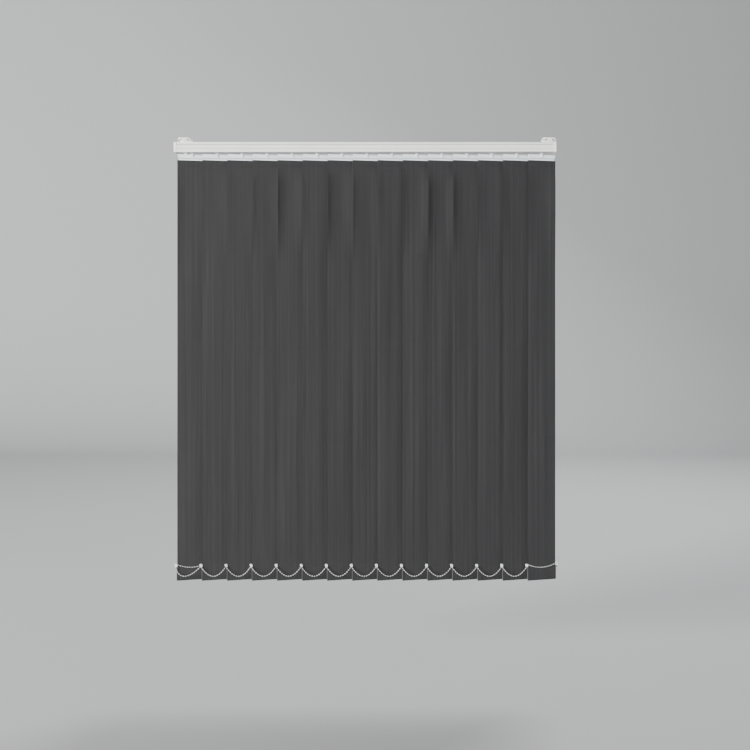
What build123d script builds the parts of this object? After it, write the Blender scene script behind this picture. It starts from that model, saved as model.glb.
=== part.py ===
# Vertical blind under a ceiling: a slotted headrail, carriers, cloth slats and their bead chains.
# Lengths are in millimetres, +Z is up and the room lies towards -Y.
# The origin is on the ceiling, midway between the two bracket screws and over the middle slat.
# The slats are drawn across the whole width and turned nearly shut.
import os
from math import cos, radians, sin

from build123d import *

os.makedirs("parts", exist_ok=True)

# Row of slats
slat_count = 15
slat_pitch = 76.0
slat_width = 89.0
slat_length = 1276.0
cloth = 0.4
closed_angle = 14.0
stacked_pitch = 18.0

# Headrail
rail_top = -14.0
rail_height = 30.0
rail_width = 42.0
rail_wall = 1.3
rail_past_first = 45.0
rail_past_last = 34.0
rail_corner = 2.0
top_lip = 3.5
deck_drop = 4.0
slot_width = 12.0
slot_rim = 1.2
groove_depth = 0.5
groove_height = 1.0
upper_groove_drop = 6.5
lower_groove_drop = 20.5

# Ends of the rail
flange_length = 7.0
flange_proud = 0.6
plug_clearance = 0.25
spout_inset = 26.0
control_gap = 0.6
far_plug_length = 18.0
spout_length = 7.6
spout_width = 10.4
spout_drop = 4.8
spout_hole = 1.5
spout_hole_offset = 2.6

# Brackets
bracket_past_row = 21.0
bracket_length = 39.0
bracket_corner = 6.0
bracket_plate = 2.0
screw_hole = 2.4
claw_thickness = 2.0
arch_band = 2.0
arch_rise = 1.4
ring_radius = 6.5
ring_hole = 2.4
claw_window = 12.5
claw_clearance = 0.3

# Tilt rod and its wheel
rod_radius = 3.0
rod_y = 6.0
rod_drop = 16.5
rod_groove = 0.8
rod_grooves = 3
rod_end_gap = 2.0
running_gap = 0.3
wheel_radius = 8.0
wheel_length = 7.0
wheel_pockets = 6
pocket_radius = 2.0
wheel_fit = 0.05
wheel_room_gap = 1.3

# Carriers
carrier_gap = 0.6
carrier_width = 30.0
carrier_top_drop = 8.0
carrier_chamfer = 2.6
carrier_lift = 2.2
neck_length = 13.0
neck_width = 9.6
neck_drop = 1.2
runner_height = 6.0
runner_width = 3.2
track_gap = 0.3
socket_sides = 8
socket_depth = 8.5

# Spacer strips
strip_thickness = 0.4
strip_width = 8.0
strip_levels = 5
strip_level_step = 0.8
strip_overrun = 4.0
strip_root = 3.0
strip_y = -7.0
strip_top_drop = 10.5
strip_gap = 0.5

# Stem hooks
stem_radius = 3.0
collar_width = 8.8
collar_thickness = 6.4
collar_length = 3.0
tongue_width = 6.0
tongue_thickness = 1.2
tongue_gap = 0.3
hook_length = 11.5
peg_height = 2.2
hook_lip = 3.6

# Hangers
hanger_above_eye = 5.5
hanger_shoulder = 17.7
hanger_thickness = 1.6
hanger_width_top = 88.0
hanger_width_low = 81.0
tongue_depth = 14.0
rib_height = 3.0
rib_proud = 0.5
rib_drop = 11.8
eye_width = 7.0
eye_clearance = 0.1
corner_hole = 2.2
corner_hole_inset = 7.0
corner_hole_drop = 5.5

# Pockets in the cloth
pocket_gap = 0.1
pocket_taper = 4.0
hem_height = 40.0

# Bottom weights
weight_thickness = 1.6
weight_proud = 0.7
weight_floor_gap = 0.3
weight_head_gap = 1.5
link_ring_radius = 4.0
link_ring_hole = 1.6
link_ring_sides = 8
link_ring_thickness = 2.4
link_ring_reach = 4.3
link_ring_rise = 9.0
ear_width = 3.2
end_flange = 1.2

# Bead chains, drawn as plain bands of a bead's mean thickness
chain_size = 2.4
chain_gap = 0.4
chain_sag = 31.0
chain_drop = 3.0
link_sag = 11.0
link_inset = 3.0
link_rise = 2.0
bay_shape = (0.0, 0.18, 0.4, 0.6, 0.82, 1.0)


def stem_x(number):
    return (number - (slat_count + 1) / 2) * slat_pitch


def save(piece, label):
    piece.part.label = label
    export_step(piece.part, f"parts/{label}.step")


# Levels and ends shared by the pieces
rail_left = stem_x(1) - rail_past_first
rail_right = stem_x(slat_count) + rail_past_last
bracket_reach = stem_x(slat_count) + bracket_past_row
control_x = rail_left + spout_inset
rail_bottom = rail_top - rail_height
half_rail = rail_width / 2
deck_top = rail_top - deck_drop
cavity_top = deck_top - rail_wall
cavity_bottom = rail_bottom + rail_wall
cavity_half = half_rail - rail_wall
rod_z = rail_top - rod_drop
collar_top = rail_bottom - neck_drop - running_gap
hook_floor = collar_top - hook_length
peg_top = hook_floor + peg_height
hanger_top = peg_top + hanger_above_eye
slat_top = hanger_top - hanger_shoulder
slat_bottom = slat_top - slat_length
knob_z = slat_bottom + hem_height - weight_head_gap + link_ring_rise
knob_u = slat_width / 2 + link_ring_reach

# Headrail, drawn from its section and run along the blind
with BuildPart() as headrail:
    with BuildSketch(Plane.YZ.offset(rail_left)) as section:
        with Locations((0, rail_top - rail_height / 2)):
            Rectangle(rail_width, rail_height)
        fillet(section.vertices(), rail_corner)
        with Locations((0, (cavity_top + cavity_bottom) / 2)):
            Rectangle(2 * cavity_half, cavity_top - cavity_bottom, mode=Mode.SUBTRACT)
        with Locations((0, (rail_top - rail_wall + deck_top) / 2)):
            Rectangle(2 * cavity_half, rail_top - rail_wall - deck_top, mode=Mode.SUBTRACT)
        with Locations((0, rail_top)):
            Rectangle(rail_width - 2 * top_lip, 2 * deck_drop, mode=Mode.SUBTRACT)
        with Locations((0, rail_bottom)):
            Rectangle(slot_width, 4 * rail_wall, mode=Mode.SUBTRACT)
        with Locations(*[(side * (slot_width + rail_wall) / 2, cavity_bottom) for side in (-1, 1)]):
            Rectangle(rail_wall, slot_rim, align=(Align.CENTER, Align.MIN))
        grooves = [rail_top - upper_groove_drop, rail_top - lower_groove_drop]
        with Locations(*[(side * half_rail, level) for side in (-1, 1) for level in grooves]):
            Rectangle(2 * groove_depth, groove_height, mode=Mode.SUBTRACT)
    extrude(amount=rail_right - rail_left)
save(headrail, "headrail")


def flange_outline(start):
    # The visible end of a cap, a little proud of the rail's section and open above like its top channel
    with BuildSketch(Plane.YZ.offset(start)) as outline:
        with Locations((0, rail_top - rail_height / 2)):
            Rectangle(rail_width + 2 * flange_proud, rail_height + 2 * flange_proud)
        chamfer(outline.vertices(), rail_corner)
        with Locations((0, rail_top)):
            Rectangle(2 * cavity_half, 2 * deck_drop, mode=Mode.SUBTRACT)
    return outline.sketch


def plug_outline(start):
    # The part of a cap inside the rail, open below over the slot's rims
    plug_top = cavity_top - plug_clearance
    plug_bottom = cavity_bottom + slot_rim + plug_clearance
    with BuildSketch(Plane.YZ.offset(start)) as outline:
        with Locations((0, (plug_top + plug_bottom) / 2)):
            Rectangle(2 * (cavity_half - plug_clearance), plug_top - plug_bottom)
    return outline.sketch


# Control end: flange, drive housing, bearing of the tilt rod and the outlet under the rail
first_carrier_face = stem_x(1) - (stacked_pitch - carrier_gap) / 2
with BuildPart() as control_end:
    extrude(flange_outline(rail_left - flange_length), amount=flange_length)
    extrude(plug_outline(rail_left), amount=first_carrier_face - control_gap - rail_left)
    with BuildSketch(Plane.XY.offset(rod_z)):
        with Locations((control_x, 0)):
            Rectangle(spout_length, spout_width)
    extrude(amount=rail_bottom - spout_drop - rod_z)
    with Locations((control_x, rod_y, rod_z)):
        wheel_room = 2 * (wheel_radius + wheel_room_gap)
        Box(wheel_length + 2 * wheel_room_gap, wheel_room, wheel_room, mode=Mode.SUBTRACT)
    with BuildSketch(Plane.YZ.offset(rail_left - rod_end_gap)):
        with Locations((rod_y, rod_z)):
            Circle(rod_radius + running_gap)
    extrude(amount=stem_x(1) - rail_left, mode=Mode.SUBTRACT)
    with BuildSketch(Plane.XY.offset(rail_bottom - 2 * spout_drop)):
        with Locations(*[(control_x, side * spout_hole_offset) for side in (-1, 1)]):
            Rectangle(2 * spout_hole, 2 * spout_hole)
    extrude(amount=rod_z - rail_bottom + 2 * spout_drop, mode=Mode.SUBTRACT)
    outer_rim = control_end.edges().group_by(Axis.X)[0]
    chamfer(outer_rim, flange_proud)
save(control_end, "control_end")

# Far end cap with the other bearing of the tilt rod
with BuildPart() as far_end_cap:
    extrude(flange_outline(rail_right), amount=flange_length)
    extrude(plug_outline(rail_right - far_plug_length), amount=far_plug_length)
    with BuildSketch(Plane.YZ.offset(rail_right - 2 * far_plug_length)):
        with Locations((rod_y, rod_z)):
            Circle(rod_radius + running_gap)
    extrude(amount=2 * far_plug_length + rod_end_gap, mode=Mode.SUBTRACT)
    outer_rim = far_end_cap.edges().group_by(Axis.X)[-1]
    chamfer(outer_rim, flange_proud)
save(far_end_cap, "far_end_cap")

# Ceiling brackets: a screwed plate and two arched claws that snap under the rail's top lips
arch_radius = bracket_length / 4
arch_centre = -bracket_plate - arch_radius + arch_rise
claw_outer = half_rail - top_lip - claw_clearance
foot_top = rail_top - rail_wall - claw_clearance
foot_bottom = deck_top + claw_clearance
foot_x = bracket_length / 2 - arch_band / 2
foot_reach = cavity_half - claw_clearance - claw_outer
hanging = (Align.CENTER, Align.MAX)
foot_align = {-1: (Align.CENTER, Align.MAX, Align.MIN), 1: (Align.CENTER, Align.MIN, Align.MIN)}
for name, centre_x in (("bracket_left", -bracket_reach), ("bracket_right", bracket_reach)):
    with BuildPart() as bracket:
        with BuildSketch(Plane.XY) as plate:
            with Locations((centre_x, 0)):
                Rectangle(bracket_length, 2 * claw_outer)
            chamfer(plate.vertices(), bracket_corner)
        extrude(amount=-bracket_plate)
        front_claw = Plane(origin=(centre_x, -claw_outer, 0), x_dir=(1, 0, 0), z_dir=(0, -1, 0))
        with BuildSketch(front_claw):
            with Locations(*[(x, arch_centre) for x in (-arch_radius, arch_radius)]):
                Circle(arch_radius)
                Circle(arch_radius - arch_band, mode=Mode.SUBTRACT)
            with Locations((0, arch_centre)):
                Rectangle(2 * bracket_length, arch_radius, align=hanging, mode=Mode.SUBTRACT)
            with Locations(*[(x, arch_centre) for x in (-foot_x, foot_x)]):
                Rectangle(arch_band, arch_centre - foot_bottom, align=hanging)
            with Locations((0, arch_rise / 2 - bracket_plate - ring_radius)):
                Circle(ring_radius)
                Circle(ring_hole, mode=Mode.SUBTRACT)
        extrude(amount=-claw_thickness)
        with BuildSketch(Plane.XZ.offset(-claw_outer)):
            with Locations((centre_x, 0)):
                Rectangle(bracket_length, -foot_bottom, align=hanging)
            with Locations(*[(centre_x + x, arch_centre) for x in (-arch_radius, arch_radius)]):
                Rectangle(claw_window, arch_centre - foot_bottom, align=hanging, mode=Mode.SUBTRACT)
        extrude(amount=claw_thickness)
        for side in (-1, 1):
            with Locations(*[(centre_x + x, side * claw_outer, foot_bottom) for x in (-foot_x, foot_x)]):
                Box(arch_band, foot_reach, foot_top - foot_bottom, align=foot_align[side])
        with Locations((centre_x, 0, 0)):
            Hole(screw_hole)
    save(bracket, name)

# Tilt rod with its three grooves
with BuildPart() as tilt_rod:
    with BuildSketch(Plane.YZ.offset(rail_left)):
        with Locations((rod_y, rod_z)):
            Circle(rod_radius)
            with PolarLocations(rod_radius, rod_grooves):
                Rectangle(2 * rod_groove, 2 * rod_groove, mode=Mode.SUBTRACT)
    extrude(amount=rail_right - rail_left)
save(tilt_rod, "tilt_rod")

# Chain wheel on the rod, with a pocket for each bead round its rim
with BuildPart() as chain_wheel:
    with BuildSketch(Plane.YZ.offset(control_x - wheel_length / 2)):
        with Locations((rod_y, rod_z)):
            Circle(wheel_radius)
            Circle(rod_radius + wheel_fit, mode=Mode.SUBTRACT)
            with PolarLocations(wheel_radius, wheel_pockets):
                Rectangle(2 * pocket_radius, 2 * pocket_radius, mode=Mode.SUBTRACT)
    extrude(amount=wheel_length)
save(chain_wheel, "chain_wheel")

# Carriers, each with a runner on both track lips, a socket below and its spacer strip
carrier_length = stacked_pitch - carrier_gap
carrier_top = rail_top - carrier_top_drop
carrier_bottom = cavity_bottom + carrier_lift
neck_bottom = rail_bottom - neck_drop
runner_floor = cavity_bottom + track_gap
window_height = strip_levels * strip_level_step + 2 * strip_gap
window_top = rail_top - strip_top_drop + strip_gap
for number in range(1, slat_count + 1):
    here = stem_x(number)
    with BuildPart() as carrier:
        with BuildSketch(Plane.YZ.offset(here - carrier_length / 2)):
            with BuildLine():
                half_body = carrier_width / 2
                right_side = [
                    (half_body - carrier_chamfer, carrier_top),
                    (half_body, carrier_top - carrier_chamfer),
                    (half_body, runner_floor + runner_height),
                    (half_body + runner_width, runner_floor + runner_height),
                    (half_body + runner_width, runner_floor),
                    (half_body - runner_width, runner_floor),
                    (half_body - runner_width, carrier_bottom),
                ]
                left_side = [(-y, z) for y, z in reversed(right_side)]
                Polyline(*right_side, *left_side, close=True)
            make_face()
        extrude(amount=carrier_length)
        with Locations((here, 0, (carrier_bottom + neck_bottom) / 2)):
            Box(neck_length, neck_width, carrier_bottom - neck_bottom)
        with Locations((here, rod_y, rod_z)):
            rod_window = 2 * (rod_radius + running_gap)
            Box(2 * carrier_length, rod_window, rod_window, mode=Mode.SUBTRACT)
        with Locations((here, strip_y, window_top - window_height / 2)):
            Box(2 * carrier_length, strip_width + 2 * strip_gap, window_height, mode=Mode.SUBTRACT)
        with BuildSketch(Plane.XY.offset(neck_bottom)):
            with Locations((here, 0)):
                RegularPolygon(stem_radius + running_gap, socket_sides, major_radius=False)
        extrude(amount=socket_depth, mode=Mode.SUBTRACT)
        if number < slat_count:
            level = rail_top - strip_top_drop - ((number - 1) % strip_levels + 0.5) * strip_level_step
            strip_start = here - carrier_length / 2
            strip_length = slat_pitch + strip_overrun + carrier_length / 2
            with Locations((strip_start, strip_y, level)):
                strip_align = (Align.MIN, Align.CENTER, Align.CENTER)
                Box(strip_length, strip_width, strip_thickness, align=strip_align)
                Box(strip_root, strip_width + 4 * strip_gap, strip_thickness, align=strip_align)
    save(carrier, f"carrier_{number:02d}")

# What hangs from each carrier is drawn in the slat's own plane, turned by the closed angle
across = (cos(radians(closed_angle)), sin(radians(closed_angle)), 0)
backward = (-sin(radians(closed_angle)), cos(radians(closed_angle)), 0)
half_cloth = cloth / 2
half_cavity = hanger_thickness / 2 + pocket_gap
half_pocket = half_cavity + cloth
top_pocket_floor = slat_top - tongue_depth - pocket_gap
hem_top = slat_bottom + hem_height


def cloth_outline(number):
    # One strip of cloth from its side: top pocket, single sheet, taper and bottom pocket
    edge = -slat_width / 2
    origin = (stem_x(number) + edge * across[0], edge * across[1], 0)
    with BuildSketch(Plane(origin=origin, x_dir=backward, z_dir=across)) as outline:
        with BuildLine():
            right_side = [
                (half_cavity, slat_top),
                (half_pocket, slat_top),
                (half_pocket, top_pocket_floor),
                (half_cloth, top_pocket_floor - pocket_taper),
                (half_cloth, hem_top + pocket_taper),
                (half_pocket, hem_top),
                (half_pocket, slat_bottom),
            ]
            left_side = [(-x, z) for x, z in reversed(right_side)]
            floor = [(-half_cavity, top_pocket_floor), (half_cavity, top_pocket_floor)]
            Polyline(*right_side, *left_side, *floor, close=True)
        make_face()
        with Locations((0, slat_bottom + cloth)):
            Rectangle(
                2 * half_cavity,
                hem_height - 2 * cloth,
                align=(Align.CENTER, Align.MIN),
                mode=Mode.SUBTRACT,
            )
    return outline.sketch


def slat_plane(number):
    return Plane(origin=(stem_x(number), 0, 0), x_dir=across, z_dir=(0, 0, 1))


def face_plane(number, forward=0.0):
    # The slat's face seen from the room: local y is up, and the normal points into the room
    origin = (stem_x(number) - forward * backward[0], -forward * backward[1], 0)
    return Plane(origin=origin, x_dir=across, z_dir=(-backward[0], -backward[1], 0))


# Cloth slats
for number in range(1, slat_count + 1):
    with BuildPart() as slat:
        extrude(cloth_outline(number), amount=slat_width)
    save(slat, f"slat_{number:02d}")

# Hook, hanger and bottom weight of each slat, three separate pieces in one group
collar_floor = collar_top - collar_length
tongue_back = -hanger_thickness / 2 - tongue_gap
tongue_front = tongue_back - tongue_thickness
lip_back = hanger_thickness / 2 + tongue_gap + tongue_thickness
weight_floor = slat_bottom + cloth + weight_floor_gap
weight_head = hem_top - weight_head_gap
weight_end = slat_width / 2 + weight_proud
for number in range(1, slat_count + 1):
    with BuildPart() as hook:
        with BuildSketch(slat_plane(number).offset(collar_top)):
            Circle(stem_radius)
        extrude(amount=socket_depth - running_gap)
        with BuildSketch(face_plane(number)):
            with BuildLine():
                half_collar = collar_width / 2
                half_tongue = tongue_width / 2
                Polyline(
                    (-half_collar, collar_top),
                    (half_collar, collar_top),
                    (half_tongue, collar_floor),
                    (-half_tongue, collar_floor),
                    close=True,
                )
            make_face()
        extrude(amount=collar_thickness / 2, both=True)
        with BuildSketch(slat_plane(number).offset(hook_floor)):
            with Locations((0, (tongue_front + tongue_back) / 2)):
                Rectangle(tongue_width, tongue_thickness)
        extrude(amount=collar_floor - hook_floor)
        with BuildSketch(slat_plane(number).offset(hook_floor)):
            with Locations((0, (tongue_back + lip_back) / 2)):
                Rectangle(tongue_width - tongue_thickness, lip_back - tongue_back)
        extrude(amount=peg_height)
        with BuildSketch(slat_plane(number).offset(hook_floor)):
            with Locations((0, lip_back - tongue_thickness / 2)):
                Rectangle(tongue_width - tongue_thickness, tongue_thickness)
        extrude(amount=hook_lip)

    with BuildPart() as hanger:
        with BuildSketch(face_plane(number)) as plate:
            with BuildLine():
                right_side = [
                    (hanger_width_top / 2, hanger_top),
                    (hanger_width_low / 2, slat_top),
                    (hanger_width_low / 2, slat_top - tongue_depth),
                ]
                left_side = [(-x, z) for x, z in reversed(right_side)]
                Polyline(*right_side, *left_side, close=True)
            make_face()
            with Locations((0, (peg_top + hook_floor) / 2)):
                Rectangle(eye_width, peg_height + 2 * eye_clearance, mode=Mode.SUBTRACT)
            hole_x = hanger_width_top / 2 - corner_hole_inset
            with Locations(*[(x, hanger_top - corner_hole_drop) for x in (-hole_x, hole_x)]):
                Rectangle(corner_hole, corner_hole, mode=Mode.SUBTRACT)
        extrude(amount=hanger_thickness / 2, both=True)
        with BuildSketch(face_plane(number)):
            with Locations((0, hanger_top - rib_drop - rib_height / 2)):
                Rectangle(hanger_width_low, rib_height)
        extrude(amount=hanger_thickness / 2 + rib_proud, both=True)

    with BuildPart() as weight:
        with BuildSketch(face_plane(number)):
            with Locations((0, (weight_floor + weight_head) / 2)):
                Rectangle(2 * weight_end, weight_head - weight_floor)
        extrude(amount=weight_thickness / 2, both=True)
        for side in (-1, 1):
            flange_middle = side * (weight_end + end_flange / 2)
            with BuildSketch(face_plane(number)) as ear:
                with Locations((side * (weight_end + ear_width / 2), weight_head)):
                    Rectangle(ear_width, ear_width)
                with Locations((side * knob_u, knob_z)):
                    RegularPolygon(link_ring_radius, link_ring_sides)
                make_hull()
                with Locations((flange_middle, (weight_floor + weight_head) / 2)):
                    Rectangle(end_flange, weight_head - weight_floor)
                with Locations((side * knob_u, knob_z - link_ring_hole)):
                    notch_height = 2 * link_ring_radius
                    notch_align = (Align.CENTER, Align.MIN)
                    Rectangle(link_ring_hole, notch_height, align=notch_align, mode=Mode.SUBTRACT)
            extrude(amount=link_ring_thickness / 2, both=True)

    label = f"fittings_{number:02d}"
    pieces = [*hook.part.solids(), *hanger.part.solids(), *weight.part.solids()]
    group = Compound(pieces, label=label)
    export_step(group, f"parts/{label}.step")


def bay_outline(plane, start, end, level, sag):
    # One hanging bay of chain: a band round a parabola, as thick across its slope at every point
    span = end - start
    upper = []
    lower = []
    for share in bay_shape:
        slope = 4 * sag / span * (1 - 2 * share)
        middle = level - 4 * sag * share * (1 - share)
        half = chain_size / 2 * (1 + slope**2) ** 0.5
        upper.append((start + share * span, middle + half))
        lower.append((start + share * span, middle - half))
    with BuildSketch(plane) as outline:
        with BuildLine():
            Polyline(*upper, *reversed(lower), close=True)
        make_face()
    return outline.sketch


# Front chain through the rings on the room side and back chain through those behind
ring_reach_y = (knob_u + link_ring_radius) * across[1] + link_ring_thickness / 2 * across[0]
chain_y = ring_reach_y + chain_gap + chain_size / 2
for name, side in (("front_chain", -1), ("back_chain", 1)):
    chain_plane = Plane(origin=(0, side * chain_y, 0), x_dir=(1, 0, 0), z_dir=(0, -1, 0))
    with BuildPart() as chain:
        for number in range(1, slat_count):
            ring_x = stem_x(number) + side * knob_u * across[0]
            bay = bay_outline(chain_plane, ring_x, ring_x + slat_pitch, knob_z - chain_drop, chain_sag)
            extrude(bay, amount=chain_size / 2, both=True)
    save(chain, name)

# Closing links of the chain, across the face of the first and of the last slat
link_forward = link_ring_thickness / 2 + chain_gap + chain_size / 2
for name, number in (("end_link_left", 1), ("end_link_right", slat_count)):
    with BuildPart() as link:
        reach = knob_u - link_inset
        face = face_plane(number, link_forward)
        extrude(
            bay_outline(face, -reach, reach, knob_z + link_rise, link_sag),
            amount=chain_size / 2,
            both=True,
        )
    save(link, name)
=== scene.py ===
# Vertical blind: cloth slats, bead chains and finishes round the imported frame
import bpy
import math
import random
from mathutils import Matrix, Vector


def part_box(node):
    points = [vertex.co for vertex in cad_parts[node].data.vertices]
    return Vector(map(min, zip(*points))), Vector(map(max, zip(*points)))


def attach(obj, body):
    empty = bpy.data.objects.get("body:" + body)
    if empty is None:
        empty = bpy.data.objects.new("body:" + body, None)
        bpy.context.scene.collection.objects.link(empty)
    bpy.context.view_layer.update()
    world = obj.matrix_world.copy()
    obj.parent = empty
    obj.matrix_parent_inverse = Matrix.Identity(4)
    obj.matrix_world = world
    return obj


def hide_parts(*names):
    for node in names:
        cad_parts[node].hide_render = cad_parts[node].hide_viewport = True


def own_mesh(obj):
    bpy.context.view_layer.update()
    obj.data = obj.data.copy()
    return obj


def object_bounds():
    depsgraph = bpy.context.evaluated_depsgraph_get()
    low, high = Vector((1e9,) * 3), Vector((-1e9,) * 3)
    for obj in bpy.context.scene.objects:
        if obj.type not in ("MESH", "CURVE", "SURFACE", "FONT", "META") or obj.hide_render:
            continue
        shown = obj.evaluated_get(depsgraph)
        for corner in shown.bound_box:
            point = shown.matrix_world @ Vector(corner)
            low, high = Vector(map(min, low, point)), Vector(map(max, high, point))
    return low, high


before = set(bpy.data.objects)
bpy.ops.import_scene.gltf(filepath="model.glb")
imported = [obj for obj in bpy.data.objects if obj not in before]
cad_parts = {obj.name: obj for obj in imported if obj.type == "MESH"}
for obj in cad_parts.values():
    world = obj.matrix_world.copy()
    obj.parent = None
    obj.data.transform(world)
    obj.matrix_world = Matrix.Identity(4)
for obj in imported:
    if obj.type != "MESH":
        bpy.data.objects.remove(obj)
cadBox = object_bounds()
slatNames = sorted(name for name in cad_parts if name.startswith("slat_"))
carrierNames = sorted(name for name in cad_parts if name.startswith("carrier_"))
fittingNames = sorted(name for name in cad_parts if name.startswith("fittings_"))
print("frame loaded:", len(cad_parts), "nodes")

slatTurn = math.radians(14)  # how far the closed slats stand off the line of the rail


def makeActive(piece):
    bpy.ops.object.select_all(action="DESELECT")
    piece.select_set(True)
    bpy.context.view_layer.objects.active = piece


def middleOf(box):
    return (box[0] + box[1]) / 2


def slatSpot(number, across, backward, height):
    # A point given in a slat's own plane, counted from the left, in the frame
    centre = middleOf(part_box(slatNames[number]))
    x = centre.x + across * math.cos(slatTurn) - backward * math.sin(slatTurn)
    y = across * math.sin(slatTurn) + backward * math.cos(slatTurn)
    return Vector((x, y, height))


# Camera and light

cameraLook = {
    "place": (0.0245, -3.05, -0.528),
    "focalPixels": 1002,
    "photoWidth": 750,
    "sensor": 36,
    "shiftUp": -0.084,
    "farClip": 50,
}


def makeCamera(look):
    bpy.ops.object.camera_add(location=look["place"], rotation=(math.pi / 2, 0, 0))
    camera = bpy.context.object
    camera.data.lens = look["focalPixels"] / look["photoWidth"] * look["sensor"]
    camera.data.sensor_width = look["sensor"]
    camera.data.shift_y = look["shiftUp"]
    camera.data.clip_end = look["farClip"]
    bpy.context.scene.camera = camera


lightLook = {
    "key": {"place": (-8.8, -5.9, 1.1), "size": 2.8, "power": 4300, "tint": (1.0, 0.99, 0.97)},
    "fill": {"place": (2.6, -4.2, -0.2), "size": 2.6, "power": 40, "tint": (0.95, 0.97, 1.0)},
    "back": {"place": (2.2, 3.6, 3.0), "size": 2.4, "power": 420, "tint": (1.0, 1.0, 1.0)},
    "aim": (0, 0, -0.65),
    "world": {"tint": (0.93, 0.95, 1.0), "strength": 0.25},
}


def makeLights(look):
    for name in ("key", "fill", "back"):
        one = look[name]
        bpy.ops.object.light_add(type="AREA", location=one["place"])
        lamp = bpy.context.object
        lamp.data.size = one["size"]
        lamp.data.energy = one["power"]
        lamp.data.color = one["tint"]
        towards = Vector(look["aim"]) - Vector(one["place"])
        lamp.rotation_euler = towards.to_track_quat("-Z", "Y").to_euler()
    world = bpy.data.worlds.new("paleRoom")
    world.use_nodes = True
    background = world.node_tree.nodes["Background"]
    background.inputs["Color"].default_value = (*look["world"]["tint"], 1)
    background.inputs["Strength"].default_value = look["world"]["strength"]
    bpy.context.scene.world = world


stageLook = {
    "drop": 0.32,
    "size": 24,
    "behind": 6.5,
    "bend": 1.6,
    "bendSegments": 16,
    "tone": (0.32, 0.325, 0.33),
    "rough": 0.9,
}


def makeStage(look):
    level = cadBox[0].z - look["drop"]
    bpy.ops.mesh.primitive_plane_add(size=look["size"], location=(0, 0, level))
    floor = bpy.context.object
    floor.name = "floor"
    makeActive(floor)
    bpy.ops.object.mode_set(mode="EDIT")
    bpy.ops.mesh.select_mode(type="EDGE")
    bpy.ops.mesh.select_all(action="DESELECT")
    bpy.ops.object.mode_set(mode="OBJECT")
    for edge in floor.data.edges:
        ends = [floor.data.vertices[i].co for i in edge.vertices]
        edge.select = all(end.y > 0 for end in ends)
    bpy.ops.object.mode_set(mode="EDIT")
    bpy.ops.transform.translate(value=(0, look["behind"] - look["size"] / 2, 0))
    bpy.ops.mesh.extrude_region_move(TRANSFORM_OT_translate={"value": (0, 0, look["size"] / 2)})
    bpy.ops.object.mode_set(mode="OBJECT")
    bend = floor.modifiers.new("bend", "BEVEL")
    bend.width = look["bend"]
    bend.segments = look["bendSegments"]
    bpy.ops.object.modifier_apply(modifier="bend")
    bpy.ops.object.shade_smooth()
    floor.data.materials.append(plainFinish("palePaper", look["tone"], look["rough"]))


# Finishes

def newFinish(name):
    finish = bpy.data.materials.new(name)
    finish.use_nodes = True
    tree = finish.node_tree
    return finish, tree, tree.nodes["Principled BSDF"]


def addNode(tree, kind, **values):
    node = tree.nodes.new(kind)
    for key, value in values.items():
        if key in node.inputs:
            node.inputs[key].default_value = value
        else:
            setattr(node, key, value)
    return node


def plainFinish(name, colour, roughness):
    finish, tree, shader = newFinish(name)
    shader.inputs["Base Color"].default_value = (*colour, 1)
    shader.inputs["Roughness"].default_value = roughness
    return finish


def colourRamp(tree, stops):
    ramp = addNode(tree, "ShaderNodeValToRGB")
    ramp.color_ramp.elements[0].position = stops[0][0]
    ramp.color_ramp.elements[0].color = (*stops[0][1], 1)
    ramp.color_ramp.elements[1].position = stops[-1][0]
    ramp.color_ramp.elements[1].color = (*stops[-1][1], 1)
    for place, colour in stops[1:-1]:
        ramp.color_ramp.elements.new(place).color = (*colour, 1)
    return ramp


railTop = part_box("headrail")[1].z
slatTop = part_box(slatNames[0])[1].z
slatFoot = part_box(slatNames[0])[0].z
mouldedLook = {
    "coat": {
        "dark": (0.66, 0.668, 0.645),
        "light": (0.73, 0.738, 0.715),
        "rough": 0.38,
        "grain": 900,
        "bump": 0.04,
        # Painted shade: two dark lines along the rail where its grooves lie in shade
        "paintedShadeAndBands": [(railTop - 0.0073, 0.0014, 0.6), (railTop - 0.0198, 0.0014, 0.8)],
    },
    "cap": {
        "dark": (0.74, 0.74, 0.70),
        "light": (0.82, 0.82, 0.78),
        "rough": 0.45,
        "grain": 700,
        "bump": 0.06,
        "paintedShadeAndBands": [],
    },
    "white": {
        "dark": (0.80, 0.87, 0.89),
        "light": (0.86, 0.93, 0.95),
        "rough": 0.42,
        "grain": 600,
        "bump": 0.05,
        # The first band is painted shade, a dark line above the hangers' rib; the second gives the
        # weights at the foot a dark tone
        "paintedShadeAndBands": [(slatTop + 0.0059, 0.0014, 0.56), (slatFoot + 0.0205, 0.0215, 0.1)],
    },
    "inner": {
        "dark": (0.50, 0.50, 0.48),
        "light": (0.60, 0.60, 0.58),
        "rough": 0.5,
        "grain": 600,
        "bump": 0.05,
        "paintedShadeAndBands": [],
    },
    "bead": {
        "dark": (0.56, 0.56, 0.54),
        "light": (0.68, 0.68, 0.66),
        "rough": 0.3,
        "grain": 500,
        "bump": 0.02,
        "paintedShadeAndBands": [],
    },
}


def addShade(tree, colour, height, shade):
    # A level stretch of the piece in a darker tone: its middle, its half height and the tone
    middle, half, tone = shade
    within = addNode(tree, "ShaderNodeMath", operation="COMPARE")
    within.inputs[1].default_value = middle
    within.inputs[2].default_value = half
    mix = addNode(tree, "ShaderNodeMix", data_type="RGBA", blend_type="MULTIPLY")
    mix.inputs["B"].default_value = (tone, tone, tone, 1)
    tree.links.new(height, within.inputs[0])
    tree.links.new(within.outputs["Value"], mix.inputs["Factor"])
    tree.links.new(colour, mix.inputs["A"])
    return mix.outputs["Result"]


mottling = {
    "scale": 9.0,
    "detail": 5.0,
    "rough": 0.6,
    "darkBelow": 0.3,
    "lightAbove": 0.7,
    "grainDetail": 2.0,
    "grainDepth": 0.0004,
    "polished": 0.06,
    "dusty": 0.1,
}


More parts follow.
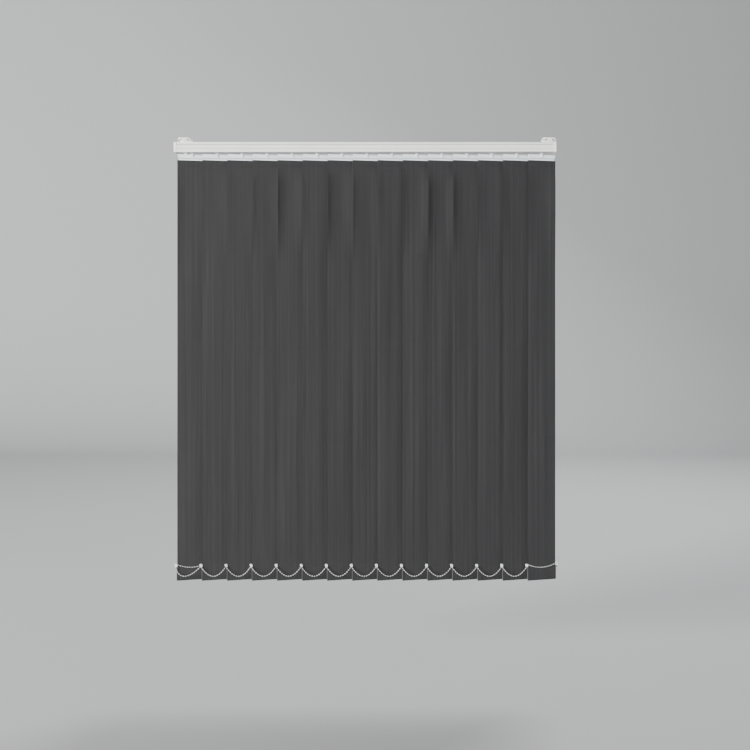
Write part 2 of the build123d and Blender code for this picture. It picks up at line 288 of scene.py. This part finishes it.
def mouldedFinish(name, look):
    # Soft mottling, a fine grain and a little dust lying in the roughness
    finish, tree, shader = newFinish(name)
    place = addNode(tree, "ShaderNodeTexCoord")
    axes = addNode(tree, "ShaderNodeSeparateXYZ")
    mottle = addNode(tree, "ShaderNodeTexNoise", Scale=mottling["scale"], Detail=mottling["detail"])
    mottle.inputs["Roughness"].default_value = mottling["rough"]
    grain = addNode(tree, "ShaderNodeTexNoise", Scale=look["grain"], Detail=mottling["grainDetail"])
    stops = [(mottling["darkBelow"], look["dark"]), (mottling["lightAbove"], look["light"])]
    tone = colourRamp(tree, stops)
    dust = addNode(tree, "ShaderNodeMapRange")
    dust.inputs["To Min"].default_value = look["rough"] - mottling["polished"]
    dust.inputs["To Max"].default_value = look["rough"] + mottling["dusty"]
    bump = addNode(tree, "ShaderNodeBump", Strength=look["bump"], Distance=mottling["grainDepth"])
    tree.links.new(place.outputs["Object"], mottle.inputs["Vector"])
    tree.links.new(place.outputs["Object"], grain.inputs["Vector"])
    tree.links.new(place.outputs["Object"], axes.inputs["Vector"])
    tree.links.new(mottle.outputs["Fac"], tone.inputs["Fac"])
    tree.links.new(mottle.outputs["Fac"], dust.inputs["Value"])
    tree.links.new(grain.outputs["Fac"], bump.inputs["Height"])
    colour = tone.outputs["Color"]
    # Level dark bands by height: painted shade lines in the rail's grooves and above the hangers'
    # rib, and the weights' own dark tone
    for shade in look["paintedShadeAndBands"]:
        colour = addShade(tree, colour, axes.outputs["Z"], shade)
    tree.links.new(colour, shader.inputs["Base Color"])
    tree.links.new(dust.outputs["Result"], shader.inputs["Roughness"])
    tree.links.new(bump.outputs["Normal"], shader.inputs["Normal"])
    return finish


rodLook = {
    "dark": (0.45, 0.46, 0.47),
    "light": (0.62, 0.63, 0.64),
    "darkBelow": 0.35,
    "lightAbove": 0.65,
    "rough": 0.34,
    "stretch": (4, 900, 900),
    "detail": 3.0,
    "bump": 0.1,
    "lineDepth": 0.0002,
}


def drawnMetal(name, look):
    # Lines of the drawing die along the rod
    finish, tree, shader = newFinish(name)
    place = addNode(tree, "ShaderNodeTexCoord")
    stretch = addNode(tree, "ShaderNodeMapping")
    stretch.inputs["Scale"].default_value = look["stretch"]
    lines = addNode(tree, "ShaderNodeTexNoise", Scale=1.0, Detail=look["detail"])
    stops = [(look["darkBelow"], look["dark"]), (look["lightAbove"], look["light"])]
    tone = colourRamp(tree, stops)
    bump = addNode(tree, "ShaderNodeBump", Strength=look["bump"], Distance=look["lineDepth"])
    tree.links.new(place.outputs["Object"], stretch.inputs["Vector"])
    tree.links.new(stretch.outputs["Vector"], lines.inputs["Vector"])
    tree.links.new(lines.outputs["Fac"], tone.inputs["Fac"])
    tree.links.new(lines.outputs["Fac"], bump.inputs["Height"])
    tree.links.new(tone.outputs["Color"], shader.inputs["Base Color"])
    tree.links.new(bump.outputs["Normal"], shader.inputs["Normal"])
    shader.inputs["Metallic"].default_value = 1.0
    shader.inputs["Roughness"].default_value = look["rough"]
    return finish


clothLook = {
    "dark": (0.0192, 0.0192, 0.0206),
    "middle": (0.0256, 0.0256, 0.0273),
    "light": (0.0350, 0.0350, 0.0370),
    "tonePlaces": (0.36, 0.5, 0.64),
    "slub": (900, 5.0, 1),
    "slubDetail": 4.0,
    "slubRough": 0.62,
    "broad": (140, 0.8, 1),
    "broadDetail": 3.0,
    "broadShare": 0.5,
    "waveUnit": 0.314,
    "threadWidth": 0.00085,
    "threadWander": 0.6,
    "weftHeight": 0.0011,
    "weftWander": 0.8,
    "weftShare": 0.55,
    "slubShare": 1.1,
    "bump": 0.55,
    "bumpDepth": 0.00035,
    "seams": [(0.0055, 0.0004, 0.72), (0.0115, 0.0004, 0.78), (0.0175, 0.0005, 0.7)],
    "rough": 0.86,
    "specular": 0.35,
    "sheen": 0.06,
    "sheenRough": 0.5,
}


def clothFinish(name, look):
    # Upright slubbed threads crossed by a weft, read from the cloth's own map in metres
    finish, tree, shader = newFinish(name)
    flat = addNode(tree, "ShaderNodeUVMap", uv_map="clothMap")
    slubPlace = addNode(tree, "ShaderNodeMapping")
    slubPlace.inputs["Scale"].default_value = look["slub"]
    slub = addNode(tree, "ShaderNodeTexNoise", Scale=1.0, Detail=look["slubDetail"])
    slub.inputs["Roughness"].default_value = look["slubRough"]
    broadPlace = addNode(tree, "ShaderNodeMapping")
    broadPlace.inputs["Scale"].default_value = look["broad"]
    broad = addNode(tree, "ShaderNodeTexNoise", Scale=1.0, Detail=look["broadDetail"])
    mix = addNode(tree, "ShaderNodeMix", data_type="FLOAT")
    mix.inputs["Factor"].default_value = look["broadShare"]
    axes = addNode(tree, "ShaderNodeSeparateXYZ")
    tones = [look[name] for name in ("dark", "middle", "light")]
    tone = colourRamp(tree, list(zip(look["tonePlaces"], tones)))
    warp = addNode(tree, "ShaderNodeTexWave", wave_type="BANDS", bands_direction="X")
    warp.inputs["Scale"].default_value = look["waveUnit"] / look["threadWidth"]
    warp.inputs["Distortion"].default_value = look["threadWander"]
    warp.inputs["Detail"].default_value = 1.0
    weft = addNode(tree, "ShaderNodeTexWave", wave_type="BANDS", bands_direction="Y")
    weft.inputs["Scale"].default_value = look["waveUnit"] / look["weftHeight"]
    weft.inputs["Distortion"].default_value = look["weftWander"]
    weave = addNode(tree, "ShaderNodeMath", operation="MULTIPLY_ADD")
    weave.inputs[1].default_value = look["weftShare"]
    slubHeight = addNode(tree, "ShaderNodeMath", operation="MULTIPLY_ADD")
    slubHeight.inputs[1].default_value = look["slubShare"]
    bump = addNode(tree, "ShaderNodeBump", Strength=look["bump"], Distance=look["bumpDepth"])
    tree.links.new(flat.outputs["UV"], slubPlace.inputs["Vector"])
    tree.links.new(flat.outputs["UV"], broadPlace.inputs["Vector"])
    tree.links.new(flat.outputs["UV"], warp.inputs["Vector"])
    tree.links.new(flat.outputs["UV"], weft.inputs["Vector"])
    tree.links.new(slubPlace.outputs["Vector"], slub.inputs["Vector"])
    tree.links.new(broadPlace.outputs["Vector"], broad.inputs["Vector"])
    tree.links.new(slub.outputs["Fac"], mix.inputs["A"])
    tree.links.new(broad.outputs["Fac"], mix.inputs["B"])
    tree.links.new(mix.outputs["Result"], tone.inputs["Fac"])
    tree.links.new(weft.outputs["Fac"], weave.inputs[0])
    tree.links.new(warp.outputs["Fac"], weave.inputs[2])
    tree.links.new(slub.outputs["Fac"], slubHeight.inputs[0])
    tree.links.new(weave.outputs["Value"], slubHeight.inputs[2])
    tree.links.new(slubHeight.outputs["Value"], bump.inputs["Height"])
    tree.links.new(flat.outputs["UV"], axes.inputs["Vector"])
    colour = tone.outputs["Color"]
    for seam in look["seams"]:
        colour = addShade(tree, colour, axes.outputs["Y"], seam)
    tree.links.new(colour, shader.inputs["Base Color"])
    tree.links.new(bump.outputs["Normal"], shader.inputs["Normal"])
    shader.inputs["Roughness"].default_value = look["rough"]
    shader.inputs["Specular IOR Level"].default_value = look["specular"]
    shader.inputs["Sheen Weight"].default_value = look["sheen"]
    shader.inputs["Sheen Roughness"].default_value = look["sheenRough"]
    return finish


edgeLook = {
    "rail": 0.0003,
    "cap": 0.0003,
    "bracket": 0.0002,
    "fitting": 0.00015,
    "weld": 0.00001,
    "segments": 2,
    "sharperThan": 35,
}


def dress(node, finish, edge=0.0):
    # A CAD node keeps its mesh and gets a finish, and where asked a weld and a fine rounded edge
    for place in node.material_slots:
        place.material = finish
    if edge:
        weld = node.modifiers.new("weld", "WELD")
        weld.merge_threshold = edgeLook["weld"]
        rounding = node.modifiers.new("edge", "BEVEL")
        rounding.width = edge
        rounding.segments = edgeLook["segments"]
        rounding.limit_method = "ANGLE"
        rounding.angle_limit = math.radians(edgeLook["sharperThan"])


# Cloth slats: lengths in metres, curls in millimetres

slatCut = {
    "width": 0.089,
    "drop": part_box(slatNames[0])[1].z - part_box(slatNames[0])[0].z,
    "thickness": 0.0004,
    "pocketHalf": 0.0011,
    "topPocket": 0.014,
    "taper": 0.005,
    "hem": 0.040,
    "hemGap": 1.2,
    "seamGap": 1.1,
    "columns": 20,
    "rowStep": 0.014,
    "stripRows": 8,
    "foldSteps": 4,
    "smoothAngle": 40,
    "mapShift": 0.3,
    "curlTop": 0.006,
    "curlPeak": 0.08,
    "curlHold": 0.15,
    "curlEnd": 0.35,
    "leftCurls": (1.3, 0.8, 1.7, 2.7, 5.0, 1.8, 5.0, 3.6, 1.4, 2.6, 5.0, 4.9, 3.4, 2.7, 2.7),
    "rightCurls": (2.0, 2.4, 4.0, 6.0, 6.0, 1.6, 6.4, 3.2, 0.6, 6.4, 6.8, 2.2, 3.6, 0.8, 2.8),
    "leftReach": 1.15,
    "shown": 0.62,
    "ease": 2.6,
    "creases": (0.283, 0.566, 0.849),
    "creaseDepth": 0.0005,
    "creaseReach": 0.006,
    "calmTop": 0.1,
    "calmFoot": 0.12,
    "leanWave": 2.2,
    "cupWave": 3.1,
    "cupLevel": 0.33,
    "rippleWave": 9,
    "rippleSlant": 2.5,
    "seed": 7,
    "wavers": {
        "lean": (0.0003, 0.0011),
        "cup": (-0.0008, 0.0008),
        "ripple": (0.00015, 0.0004),
        "phase": (0, 6.28),
        "slip": (-0.006, 0.006),
    },
}


def smoothStep(value):
    value = max(0.0, min(1.0, value))
    return value * value * (3 - 2 * value)


def clothPath(cut, along):
    # How far back and how far down the cloth is, a given length along it from its top edge
    straight = cut["drop"] - cut["pocketHalf"]
    fold = math.pi * cut["pocketHalf"]
    if along < cut["topPocket"] + cut["taper"]:
        share = smoothStep((along - cut["topPocket"]) / cut["taper"])
        return -cut["pocketHalf"] * (1 - share), along
    if along <= straight:
        start = cut["drop"] - cut["hem"]
        share = smoothStep((along - start + cut["taper"] / 2) / cut["taper"])
        return -cut["pocketHalf"] * share, along
    if along <= straight + fold:
        angle = (along - straight) / cut["pocketHalf"]
        return -cut["pocketHalf"] * math.cos(angle), straight + cut["pocketHalf"] * math.sin(angle)
    up = along - straight - fold
    share = smoothStep((up - cut["hem"] + 2 * cut["taper"]) / cut["taper"])
    back = cut["pocketHalf"] - (cut["pocketHalf"] - cut["hemGap"] * cut["thickness"]) * share
    return back, straight - up


def curlOf(cut, number, across, down, waver):
    # Both edges curl towards the room below the top pocket, and the cloth waves a little all over
    if down < cut["curlPeak"]:
        reach = smoothStep((down - cut["curlTop"]) / (cut["curlPeak"] - cut["curlTop"]))
    else:
        reach = 1 - smoothStep((down - cut["curlHold"]) / (cut["curlEnd"] - cut["curlHold"]))
    share = 2 * across / cut["width"]
    left = cut["leftCurls"][number] / 1000 * max(0.0, 1 - (share + 1) / cut["leftReach"]) ** 3
    right = cut["rightCurls"][number] / 1000
    right *= max(0.0, share) ** 2 - cut["ease"] * max(0.0, share - cut["shown"]) ** 2
    calm = smoothStep(down / cut["calmTop"])
    calm *= smoothStep((cut["drop"] - cut["hem"] - down) / cut["calmFoot"])
    phase = waver["phase"]
    lean = waver["lean"] * math.sin(cut["leanWave"] * down + phase) * share
    cup = waver["cup"] * math.sin(cut["cupWave"] * down + 2 * phase)
    cup *= share * share - cut["cupLevel"]
    swing = cut["rippleWave"] * down + 3 * phase + cut["rippleSlant"] * share
    ripple = waver["ripple"] * math.sin(swing)
    crease = 0
    for level in cut["creases"]:
        gap = abs(down - level - waver["slip"])
        crease += cut["creaseDepth"] * max(0.0, 1 - gap / cut["creaseReach"])
    return calm * (lean + cup + ripple - crease) - reach * (left + right)


def rowPlaces(cut, whole, slip):
    # Rows stand close at the pockets, the creases and the fold, and evenly between them
    hemStart = cut["drop"] - cut["hem"]
    straight = cut["drop"] - cut["pocketHalf"]
    fold = math.pi * cut["pocketHalf"]
    half = cut["taper"] / 2
    marks = [0, cut["topPocket"], cut["topPocket"] + half, cut["topPocket"] + cut["taper"]]
    marks += [hemStart - half, hemStart, hemStart + half, straight]
    marks += [
        straight + fold * step / cut["foldSteps"] for step in range(1, cut["foldSteps"] + 1)
    ]
    marks += [straight + fold + cut["hem"] - cut["taper"] * back for back in (2, 1.5, 1)]
    for level in cut["creases"]:
        marks += [level + slip + side * cut["creaseReach"] for side in (-1, 0, 1)]
    marks = sorted(marks) + [whole]
    places = [0]
    for low, high in zip(marks, marks[1:]):
        steps = max(1, math.ceil((high - low) / cut["rowStep"]))
        places += [low + (high - low) * step / steps for step in range(1, steps + 1)]
    return places


def makeSlat(cut, number, finish):
    rng = random.Random(cut["seed"] + number)
    waver = {name: rng.uniform(*reach) for name, reach in cut["wavers"].items()}
    whole = cut["drop"] + cut["hem"]
    rows = rowPlaces(cut, whole, waver["slip"])
    rowCount = len(rows) - 1
    bpy.ops.mesh.primitive_grid_add(x_subdivisions=cut["columns"], y_subdivisions=rowCount, size=1)
    cloth = bpy.context.object
    cloth.name = f"cloth{number + 1:02d}"
    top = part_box(slatNames[number])[1].z
    flatMap = cloth.data.uv_layers[0]
    flatMap.name = "clothMap"
    spots = {}
    for vertex in cloth.data.vertices:
        across = vertex.co.x * cut["width"]
        along = rows[round((0.5 - vertex.co.y) * rowCount)]
        back, down = clothPath(cut, along)
        back += curlOf(cut, number, across, down, waver)
        spots[vertex.index] = (across + cut["mapShift"] * number, along)
        vertex.co = slatSpot(number, across, back, top - down)
    for loop in cloth.data.loops:
        flatMap.data[loop.index].uv = spots[loop.vertex_index]
    strip = addPocketBack(cut, number, top)
    makeActive(cloth)
    strip.select_set(True)
    bpy.ops.object.join()
    wall = cloth.modifiers.new("wall", "SOLIDIFY")
    wall.thickness = cut["thickness"]
    wall.offset = 0
    bpy.ops.object.modifier_apply(modifier="wall")
    bpy.ops.object.shade_smooth_by_angle(angle=math.radians(cut["smoothAngle"]))
    cloth.data.materials.clear()
    cloth.data.materials.append(finish)
    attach(cloth, f"slat_{number + 1:02d}")
    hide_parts(slatNames[number])


def addPocketBack(cut, number, top):
    # The turned-down back of the top pocket, which meets the cloth along its lower edge
    reach = cut["topPocket"] + cut["taper"]
    bpy.ops.mesh.primitive_grid_add(
        x_subdivisions=cut["columns"], y_subdivisions=cut["stripRows"], size=1
    )
    strip = bpy.context.object
    flatMap = strip.data.uv_layers[0]
    flatMap.name = "clothMap"
    spots = {}
    for vertex in strip.data.vertices:
        across = vertex.co.x * cut["width"]
        down = (0.5 - vertex.co.y) * reach
        share = smoothStep((down - cut["topPocket"]) / cut["taper"])
        back = cut["pocketHalf"] - (cut["pocketHalf"] - cut["seamGap"] * cut["thickness"]) * share
        spots[vertex.index] = (across + cut["mapShift"] * number, -down)
        vertex.co = slatSpot(number, across, back, top - down)
    for loop in strip.data.loops:
        flatMap.data[loop.index].uv = spots[loop.vertex_index]
    makeActive(strip)
    bpy.ops.object.mode_set(mode="EDIT")
    bpy.ops.mesh.select_all(action="SELECT")
    bpy.ops.mesh.flip_normals()
    bpy.ops.object.mode_set(mode="OBJECT")
    return strip


# Bead chains

beadLook = {
    "bead": 0.0028,
    "pitch": 0.0074,
    "thread": 0.0006,
    "segments": 10,
    "rings": 7,
    "crestHalf": 0.00229,
    "bandHalf": 0.0012,
    "firstSkew": 1.5,
    "linkCrest": 1.12,
    "baySteps": 24,
    "linkSteps": 30,
}


def hangingLevel(crest, floor, share):
    return crest - (crest - floor) * 4 * share * (1 - share)


def chainPath(node, bays):
    # The chain hangs in one curve from ring to ring, at the level of its CAD band
    low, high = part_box(node)
    y = middleOf((low, high)).y
    crest = high.z - beadLook["crestHalf"]
    floor = low.z + beadLook["bandHalf"]
    span = (high.x - low.x) / bays
    points = []
    for bay in range(bays):
        start = low.x + bay * span
        skew = beadLook["firstSkew"] if bay == 0 and y < 0 else 1
        for step in range(beadLook["baySteps"]):
            share = step / beadLook["baySteps"]
            z = hangingLevel(crest, floor, share)
            points.append(Vector((start + span * share ** skew, y, z)))
    points.append(Vector((high.x, y, crest)))
    return points


def linkPath(node):
    # A closing link hangs across one slat, in the slat's own plane
    low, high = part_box(node)
    centre = middleOf((low, high))
    half = (high.x - low.x) / 2 - beadLook["bandHalf"] * math.sin(slatTurn)
    reach = half / math.cos(slatTurn)
    crest = high.z - beadLook["bandHalf"] * beadLook["linkCrest"]
    floor = low.z + beadLook["bandHalf"]
    points = []
    for step in range(beadLook["linkSteps"] + 1):
        share = step / beadLook["linkSteps"]
        across = -reach + 2 * reach * share
        z = hangingLevel(crest, floor, share)
        x = centre.x + across * math.cos(slatTurn)
        y = centre.y + across * math.sin(slatTurn)
        points.append(Vector((x, y, z)))
    return points


def evenSpots(points, pitch):
    # Places every pitch along a path, with the direction there
    spots = []
    travelled = 0
    wanted = pitch / 2
    for here, there in zip(points, points[1:]):
        length = (there - here).length
        while wanted <= travelled + length:
            spots.append((here.lerp(there, (wanted - travelled) / length), there - here))
            wanted += pitch
        travelled += length
    return spots


def makeBeadChain(name, points, look, finish):
    bpy.ops.mesh.primitive_uv_sphere_add(
        segments=look["segments"], ring_count=look["rings"], radius=look["bead"] / 2
    )
    bead = bpy.context.object
    bpy.ops.object.shade_smooth()
    copies = []
    for spot, direction in evenSpots(points, look["pitch"]):
        one = bead.copy()
        one.data = bead.data.copy()
        turn = direction.to_track_quat("Z", "Y").to_matrix().to_4x4()
        one.data.transform(Matrix.Translation(spot) @ turn)
        bpy.context.collection.objects.link(one)
        copies.append(one)
    line = bpy.data.curves.new(name + "Thread", "CURVE")
    line.dimensions = "3D"
    line.bevel_depth = look["thread"] / 2
    line.bevel_resolution = 1
    line.use_fill_caps = True
    run = line.splines.new("POLY")
    run.points.add(len(points) - 1)
    for point, place in zip(run.points, points):
        point.co = (*place, 1)
    thread = bpy.data.objects.new(name, line)
    bpy.context.collection.objects.link(thread)
    makeActive(thread)
    bpy.ops.object.convert(target="MESH")
    bpy.ops.object.shade_smooth()
    for one in copies:
        one.select_set(True)
    bpy.ops.object.join()
    chain = bpy.context.object
    chain.name = name
    bpy.data.objects.remove(bead)
    chain.data.materials.clear()
    chain.data.materials.append(finish)
    return chain


print("making camera, lights and stage")
makeCamera(cameraLook)
makeLights(lightLook)
makeStage(stageLook)

print("finishing the CAD nodes")
coat = mouldedFinish("creamCoat", mouldedLook["coat"])
capPlastic = mouldedFinish("capPlastic", mouldedLook["cap"])
whitePlastic = mouldedFinish("hangerPlastic", mouldedLook["white"])
innerPlastic = mouldedFinish("carrierPlastic", mouldedLook["inner"])
beadPlastic = mouldedFinish("beadPlastic", mouldedLook["bead"])
rodMetal = drawnMetal("drawnRod", rodLook)
dress(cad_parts["headrail"], coat, edgeLook["rail"])
for name in ("control_end", "far_end_cap"):
    dress(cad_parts[name], capPlastic, edgeLook["cap"])
for name in ("bracket_left", "bracket_right"):
    dress(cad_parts[name], capPlastic, edgeLook["bracket"])
dress(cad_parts["tilt_rod"], rodMetal)
dress(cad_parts["chain_wheel"], innerPlastic)
for name in carrierNames:
    dress(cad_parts[name], innerPlastic)
for name in fittingNames:
    dress(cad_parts[name], whitePlastic, edgeLook["fitting"])

print("making the slats")
charcoal = clothFinish("charcoalCloth", clothLook)
for number in range(len(slatNames)):
    makeSlat(slatCut, number, charcoal)

print("making the bead chains")
bays = len(slatNames) - 1
for node in ("front_chain", "back_chain"):
    name = node.replace("_", "") + "Beads"
    chain = makeBeadChain(name, chainPath(node, bays), beadLook, beadPlastic)
    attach(chain, node)
    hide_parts(node)
    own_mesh(chain)
for node, body in (("end_link_left", "slat_01"), ("end_link_right", "slat_15")):
    name = node.replace("_", "") + "Beads"
    link = makeBeadChain(name, linkPath(node), beadLook, beadPlastic)
    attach(link, body)
    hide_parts(node)
